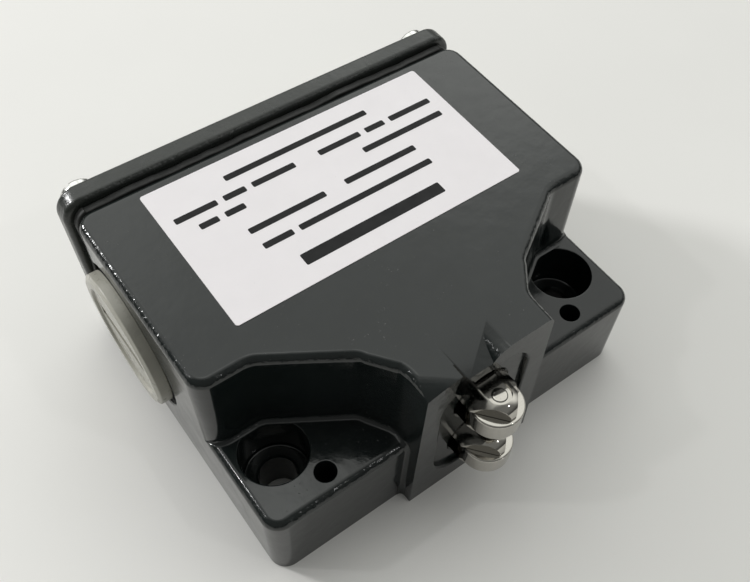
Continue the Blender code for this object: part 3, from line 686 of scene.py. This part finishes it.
# ------------------------------------------------------------------ label
def build_label():
    film = prism(rectangle(-27.1, 26.7, 11.6, 41.1, 0.5, 5), "Z", DEPTH + 0.01, DEPTH + 0.13, 0.03,
                 (False, True), 2)
    settle(solid("label_film", film), LOOKS["label_film"], "housing_body",
           ["rating_label"])
    # Plain bars in place of the printed words: (from x, to x, middle y, height).
    bars = [(-12.8, 13.7, 16.2, 2.3), (-16.3, -11.0, 21.8, 1.2), (-9.8, 15.8, 21.8, 1.2),
            (1.4, 15.4, 25.7, 1.2), (-16.6, -2.6, 25.5, 1.2), (7.9, 24.2, 29.8, 1.2),
            (-22.3, -19.0, 30.5, 1.2), (-17.8, -14.3, 30.5, 1.2), (1.4, 9.6, 33.4, 1.2),
            (10.8, 14.6, 33.4, 1.2), (15.8, 24.3, 33.4, 1.2), (-25.0, -17.6, 33.5, 1.2),
            (-16.4, -12.4, 33.5, 1.2), (-11.2, -3.2, 33.5, 1.2), (-14.2, 13.4, 37.1, 1.2)]
    rows = [prism(rectangle(x0, x1, y - h / 2, y + h / 2, 0.25, 4), "Z", DEPTH + 0.125,
                  DEPTH + 0.15) for x0, x1, y, h in bars]
    settle(solid("label_bars", combined(*rows)), PRINT, "housing_body")


# ------------------------------------------------------------------ plungers, rollers, guide
def build_plunger(level):
    z = PLUNGER_Z[level]
    axis_point = (0, ROLLER_Y, z)
    profile = soft_profile([(NOSE_Y, 0, 0), (NOSE_Y, PLUNGER, 2.6), (-1.6, PLUNGER, 0),
                            (-1.6, 5.2, 0), (-0.1, 5.2, 0), (-0.1, STEM, 0), (12.3, STEM, 0.3),
                            (12.3, 0, 0)], 10)
    plunger = solid(f"plunger_fork_{level}", turned(profile, "Y", (0, 0, z), 96))
    fork = ROLLER_HALF + 0.15
    shape(plunger, box(-6, 6, NOSE_Y - 1, ROLLER_Y + ROLLER + 0.5, z - fork, z + fork))
    shape(plunger, cylinder("Z", axis_point, PIN + 0.03, -6, 6, 32))
    pad = rounded([(-1.95, -9.0, 0), (-1.95, ROLLER_Y - 1.9, 1.93), (1.95, ROLLER_Y - 1.9, 1.93),
                   (1.95, -9.0, 0)], 14)
    shape(plunger, combined(prism(pad, "Z", z + 4.3, z + 6), prism(pad, "Z", z - 6, z - 4.3)))
    # The fork is cut back to a blunt wedge, so that the roller stands clear at both sides.
    for side in (-1, 1):
        wedge = [(side * 5.66, -13.6), (side * 5.66, -21), (side * -0.43, -21)]
        shape(plunger, prism(wedge, "Z", z - 6, z + 6))
    settle(plunger, LOOKS["plunger_steel"], f"plunger_{level}_body",
           [f"plunger_{level}"])

    pin = turned(soft_profile([(-4.4, 0, 0), (-4.4, PIN, 0.2), (4.4, PIN, 0.2), (4.4, 0, 0)]), "Z",
                 axis_point, 32)
    settle(solid(f"cross_pin_{level}", pin), LOOKS["plunger_steel"], f"plunger_{level}_body",
           [f"roller_pin_{level}"])
    tread = soft_profile([(-ROLLER_HALF, PIN + 0.1, 0), (-ROLLER_HALF, ROLLER, 0.35),
                          (ROLLER_HALF, ROLLER, 0.35), (ROLLER_HALF, PIN + 0.1, 0)])
    settle(solid(f"roller_wheel_{level}", turned(tread, "Z", axis_point, 96)),
           LOOKS["plunger_steel"], f"roller_{level}_body", [f"roller_{level}"])


def build_spring(name, level, radius, wire, ends, turns):
    """Coil spring along Y, wound between its two ends and tied to the housing."""
    z, (low, high), steps = PLUNGER_Z[level], ends, 28
    rings = []
    for i in range(turns * steps + 1):
        angle = math.tau * i / steps
        spoke = Vector((math.cos(angle), 0, math.sin(angle)))
        along = low + wire + (high - low - 2 * wire) * i / (turns * steps)
        middle = Vector((0, along, z)) + spoke * radius
        rings.append([middle + spoke * (wire * math.cos(math.tau * k / 10))
                      + Vector((0, wire * math.sin(math.tau * k / 10), 0)) for k in range(10)])
    spring = settle(solid(f"{name}_coil_{level}", lofted(rings)), LOOKS["spring_steel"],
                    "housing_body", [f"{name}_spring_{level}"], weighted=False)
    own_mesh(spring)


def build_guide():
    front = GUIDE_POCKET + 0.2
    guide = solid("guide_block", prism(oblong(GUIDE_ROUND), "Y", front, -2.6, 0.6, (True, False), 5))
    flange = rectangle(-9.3, 9.3, 4.1, DEPTH - 4.1, 2.0, 4)
    shape(guide, prism(flange, "Y", NECK_CHAMBER_FRONT + 0.3, -1.9), "UNION")
    bore = [(front - 1, 0), (front - 1, PLUNGER + 0.5), (front, PLUNGER + 0.5),
            (front + 0.4, PLUNGER + 0.12), (0, PLUNGER + 0.12), (0, 0)]
    shape(guide, combined(*[turned(bore, "Y", (0, 0, z), 96) for z in PLUNGER_Z.values()]))
    settle(guide, LOOKS["guide_alloy"], "housing_body", ["plunger_guide"])


# ------------------------------------------------------------------ the rest of the frame
def dress_frame():
    """Procedural finish on the CAD nodes that stay visible inside the housing."""
    slots = {s["node"]: s["material_slot"] for s in frame["record"]["subparts"]}
    for node, thing in frame["nodes"].items():
        look = LOOKS[slots[node]]
        if not thing.material_slots:
            thing.data.materials.append(look)
        for place in thing.material_slots:
            place.material = look


# ------------------------------------------------------------------ stage
def build_stage():
    bm = bmesh.new()
    half = 9.0
    bmesh.ops.create_grid(bm, x_segments=8, y_segments=8, size=half)
    mesh = bpy.data.meshes.new("floor")
    bm.to_mesh(mesh)
    bm.free()
    floor = bpy.data.objects.new("floor", mesh)
    floor.location = (0, 0, -0.00005)
    scene.collection.objects.link(floor)
    look = Look("floor", (0.80, 0.79, 0.77), 0.7)
    look.feed("Base Color", look.mix(look.band(look.noise(9, 4), 0.3, 0.7), (0.78, 0.77, 0.75),
                                     (0.82, 0.81, 0.79)))
    mesh.materials.append(look.material)


def area(name, size, energy, place, target, colour=(1, 1, 1), shape_name="DISK"):
    data = bpy.data.lights.new(name, "AREA")
    data.shape, data.size, data.energy, data.color = shape_name, size, energy, colour
    lamp = bpy.data.objects.new(name, data)
    lamp.location = place
    lamp.rotation_euler = (Vector(target) - Vector(place)).to_track_quat("-Z", "Y").to_euler()
    scene.collection.objects.link(lamp)
    return lamp


def build_light():
    """Soft overhead light from behind the object, plain world shading and two small lamps."""
    world = bpy.data.worlds.new("studio")
    world.use_nodes = True
    scene.world = world
    tree = world.node_tree
    back = tree.nodes["Background"]
    way = tree.nodes.new("ShaderNodeTexCoord").outputs["Generated"]

    def towards(direction, low, high, gain):
        """Brightness that rises smoothly as the direction nears the one given."""
        dot = tree.nodes.new("ShaderNodeVectorMath")
        dot.operation = "DOT_PRODUCT"
        tree.links.new(way, dot.inputs[0])
        dot.inputs[1].default_value = direction
        rise = tree.nodes.new("ShaderNodeMapRange")
        rise.interpolation_type = "SMOOTHSTEP"
        for key, value in (("From Min", low), ("From Max", high), ("To Max", gain)):
            rise.inputs[key].default_value = value
        tree.links.new(dot.outputs["Value"], rise.inputs["Value"])
        return rise.outputs["Result"]

    def sums(operation, a, b):
        made = tree.nodes.new("ShaderNodeMath")
        made.operation = operation
        for socket, value in zip(made.inputs, (a, b)):
            if isinstance(value, (int, float)):
                socket.default_value = value
            else:
                tree.links.new(value, socket)
        return made.outputs["Value"]

    dome = sums("MULTIPLY", towards((0.62, 0.78, 0), -0.25, 0.30, 1.05),
                towards((0, 0, 1), 0.10, 0.62, 1.0))
    whole = sums("ADD", dome, towards((0, 0, 1), 0.0, 0.5, 0.16))
    for direction, low, high, gain in (((0.55, 0.62, 0.56), 0.960, 0.995, 0.9),
                                       ((0.0, 0.75, 0.66), 0.950, 0.985, 0.45),
                                       ((0.08, 0.33, 0.94), 0.985, 0.998, 0.9)):
        whole = sums("ADD", whole, towards(direction, low, high, gain))
    tree.links.new(sums("ADD", whole, 0.07), back.inputs["Strength"])
    back.inputs["Color"].default_value = (0.985, 1.0, 0.965, 1)
    area("back_softbox", 0.14, 4.5, (-0.50, 0.75, 0.45), (0, 0.01, 0.01))
    area("small_lamp_left", 0.022, 0.20, (-0.34, 0.24, 0.46), (0, 0.0, 0.02))
    area("small_lamp_right", 0.022, 0.20, (0.21, -0.41, 0.52), (0, 0.0, 0.02))


def build_camera():
    data = bpy.data.cameras.new("camera")
    data.sensor_fit, data.sensor_width, data.lens = "HORIZONTAL", 36.0, 40.807
    data.shift_x, data.shift_y = -0.0510, 0.0657
    data.clip_start = 0.01
    camera = bpy.data.objects.new("camera", data)
    right = Vector((0.796181, -0.602653, 0.053897))
    down = Vector((-0.485239, -0.689188, -0.538111))
    ahead = Vector((0.361439, 0.402281, -0.841149))
    turn = Matrix((right, -down, -ahead)).transposed().to_4x4()
    camera.matrix_world = Matrix.Translation(Vector((-51.777, -53.558, 137.626)) * MM) @ turn
    scene.collection.objects.link(camera)
    scene.camera = camera


build_camera()
dress_frame()
build_housing()
build_lid()
build_plug()
build_label()
for level in PLUNGER_Z:
    build_plunger(level)
    build_spring("return", level, 3.6, 0.35, (0.2, 9.5), 5)
    build_spring("contact", level, 2.2, 0.25, (21.9, 25.2), 3)
build_guide()
build_stage()
build_light()
scene.view_settings.view_transform = "Standard"
